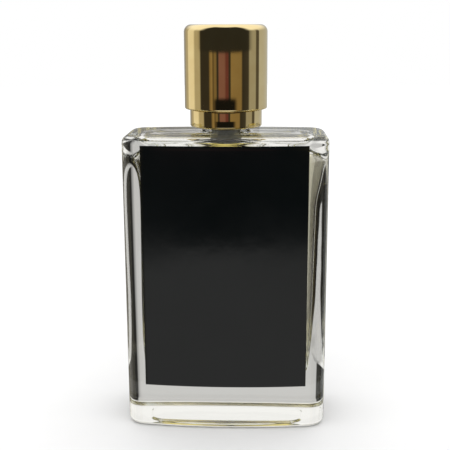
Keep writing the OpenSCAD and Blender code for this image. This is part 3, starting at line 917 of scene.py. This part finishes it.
# ------------------------------------------------------------------------ stage
def pale_floor():
    verts, faces = [(0.0, 0.0, 0.0)], []
    seg, radii = 96, (60, 120, 200, 320, 500, 800, 1400)
    for r in radii:
        for k in range(seg):
            a = 2 * math.pi * k / seg
            verts.append((r * math.cos(a), r * math.sin(a), 0.0))
    for k in range(seg):
        faces.append((0, 1 + k, 1 + (k + 1) % seg))
    for i in range(len(radii) - 1):
        for k in range(seg):
            a, b = 1 + i * seg, 1 + (i + 1) * seg
            faces.append((a + k, b + k, b + (k + 1) % seg, a + (k + 1) % seg))
    m, nt, p, out = material("pale_floor")
    n1 = noise_node(nt, coords(nt), 30.0, 3.0)
    nt.links.new(ramp(nt, n1, [(0.3, (0.84, 0.84, 0.84)), (0.7, (0.86, 0.86, 0.86))]),
                 p.inputs["Base Color"])
    p.inputs["Roughness"].default_value = 0.7
    p.inputs["Specular IOR Level"].default_value = 0.0
    obj = new_object("floor", verts, faces, m, None, None)
    # the glass and the gold see the studio round them and not the floor
    obj.visible_glossy = False
    obj.visible_transmission = False
    return obj


pale_floor()

# Soft studio round the object: a bright sky above, and upright lights and flags
# round the horizon.
world = bpy.data.worlds.new("studio")
bpy.context.scene.world = world
world.use_nodes = True
world.cycles.sampling_method = "NONE"
nt = world.node_tree
nt.nodes.clear()
wout = nt.nodes.new("ShaderNodeOutputWorld")
bg = nt.nodes.new("ShaderNodeBackground")
nt.links.new(bg.outputs["Background"], wout.inputs["Surface"])
tc = nt.nodes.new("ShaderNodeTexCoord")
sep = nt.nodes.new("ShaderNodeSeparateXYZ")
nt.links.new(tc.outputs["Generated"], sep.inputs["Vector"])
UP = sep.outputs["Z"]                     # sine of the height above the horizon


def math_node(op, a, b=None, clamp=False):
    n = nt.nodes.new("ShaderNodeMath")
    n.operation = op
    n.use_clamp = clamp
    for i, v in enumerate((a, b)):
        if v is None:
            continue
        if isinstance(v, (int, float)):
            n.inputs[i].default_value = v
        else:
            nt.links.new(v, n.inputs[i])
    return n.outputs["Value"]


def smooth(fac, a, b):
    """0 at a and 1 at b, eased."""
    r = map_range(nt, fac, a, b, 0.0, 1.0)
    r.node.interpolation_type = "SMOOTHSTEP"
    return r


def mix(fac, a, b):
    n = nt.nodes.new("ShaderNodeMix")
    n.data_type = "RGBA"
    n.clamp_factor = True
    for sock, v in ((n.inputs["Factor"], fac), (n.inputs[6], a), (n.inputs[7], b)):
        if isinstance(v, tuple):
            sock.default_value = (*v, 1)
        elif isinstance(v, (int, float)):
            sock.default_value = v
        else:
            nt.links.new(v, sock)
    return n.outputs[2]


minus_y = math_node("MULTIPLY", sep.outputs["Y"], -1.0)
azim = math_node("ARCTAN2", sep.outputs["X"], minus_y)
turn = math_node("MULTIPLY_ADD", azim, 1 / (2 * math.pi))
turn.node.inputs[2].default_value = 0.5
FRONT = math_node("COSINE", azim)         # 1 at the front, -1 behind


def turn_at(deg):
    return deg / 360.0 + 0.5


WARM, GREY, DARK = (1.0, 0.93, 0.80), (1.0, 0.98, 0.95), (0.6, 0.58, 0.52)


def tone(col, k):
    return tuple(c * k for c in col)


# upright lights and flags, by their direction in degrees from the front
BRIGHT, PALE, SHADE = (0.94, 0.90, 0.79), (0.50, 0.46, 0.36), (0.040, 0.036, 0.030)
COPPER, RUST = (0.24, 0.12, 0.11), (0.150, 0.050, 0.048)
OCHRE, OLIVE, MIST = (0.29, 0.21, 0.10), (0.39, 0.38, 0.34), (0.54, 0.55, 0.55)
lights = [
    (-180, tone(GREY, 0.36)), (-144, tone(GREY, 0.36)), (-140, PALE), (-128, PALE),
    (-123, BRIGHT), (-98, BRIGHT), (-92, PALE), (-75, PALE), (-71, SHADE),
    (-45.5, SHADE), (-43, tone(OCHRE, 0.75)), (-37, tone(OCHRE, 1.15)), (-33, tone(OCHRE, 0.35)),
    (-29, tone(OCHRE, 0.8)), (-24, tone(OCHRE, 0.7)), (-22.5, SHADE), (-19, SHADE),
    (-16.5, COPPER), (-2, COPPER), (3, RUST), (8.5, RUST), (10.5, SHADE), (14, SHADE),
    (16.5, OCHRE), (45, tone(OCHRE, 0.9)), (48.5, SHADE), (67, tone(SHADE, 1.5)), (70.5, OLIVE),
    (92, OLIVE), (94.5, tone(SHADE, 2.5)), (104.5, tone(SHADE, 2.5)), (107, MIST),
]
band = ramp(nt, turn, [(turn_at(a), c) for a, c in lights])

# what polished faces see: the band round the horizon, dark over it in front,
# a broad light overhead, and a low pale table edge in front
ahead = smooth(FRONT, 0.10, 0.55)
gloss = mix(math_node("MULTIPLY", ahead, smooth(UP, -0.005, 0.004)), band, tone(DARK, 0.05))
close = smooth(FRONT, 0.80, 0.92)
low = mix(smooth(UP, -0.262, -0.242), tone(GREY, 0.78), tone(GREY, 0.010))
gloss = mix(math_node("MULTIPLY", close, smooth(UP, -0.122, -0.134)), gloss, low)
over = math_node("MULTIPLY_ADD", math_node("SUBTRACT", smooth(UP, 0.93, 0.985), smooth(UP, 0.14, 0.60)), ahead)
nt.links.new(smooth(UP, 0.14, 0.60), over.node.inputs[2])
gloss = mix(over, gloss, (1.25, 1.24, 1.22))

# what is seen through the glass: a light backdrop between dark flags, and the
# pale table below
LIGHT_BACK, FLAG = tone(GREY, 0.58), tone(DARK, 0.035)
behind = ramp(nt, turn, [(turn_at(a), c) for a, c in (
    (-180, LIGHT_BACK), (-160.5, LIGHT_BACK), (-159, FLAG), (169.6, FLAG), (170.6, LIGHT_BACK),
    (179.9, LIGHT_BACK))])
through = mix(smooth(UP, -0.50, -0.60), behind, tone(GREY, 0.90))
through = mix(smooth(UP, -0.02, 0.20), through, tone(GREY, 0.95))

# soft even light for what isn't polished
soft = mix(smooth(UP, -0.2, 0.9), (1.22, 1.21, 1.20), (1.34, 1.34, 1.34))

lp = nt.nodes.new("ShaderNodeLightPath")
col = mix(lp.outputs["Is Glossy Ray"], soft, gloss)
col = mix(lp.outputs["Is Transmission Ray"], col, through)
col = mix(lp.outputs["Is Camera Ray"], col, (1.0, 1.0, 1.0))
nt.links.new(col, bg.inputs["Color"])
bg.inputs["Strength"].default_value = 1.0

scene = bpy.context.scene
scene.view_settings.view_transform = "Standard"
scene.view_settings.look = "None"
scene.cycles.max_bounces = 24
scene.cycles.transmission_bounces = 24
scene.cycles.glossy_bounces = 8
scene.cycles.transparent_max_bounces = 16
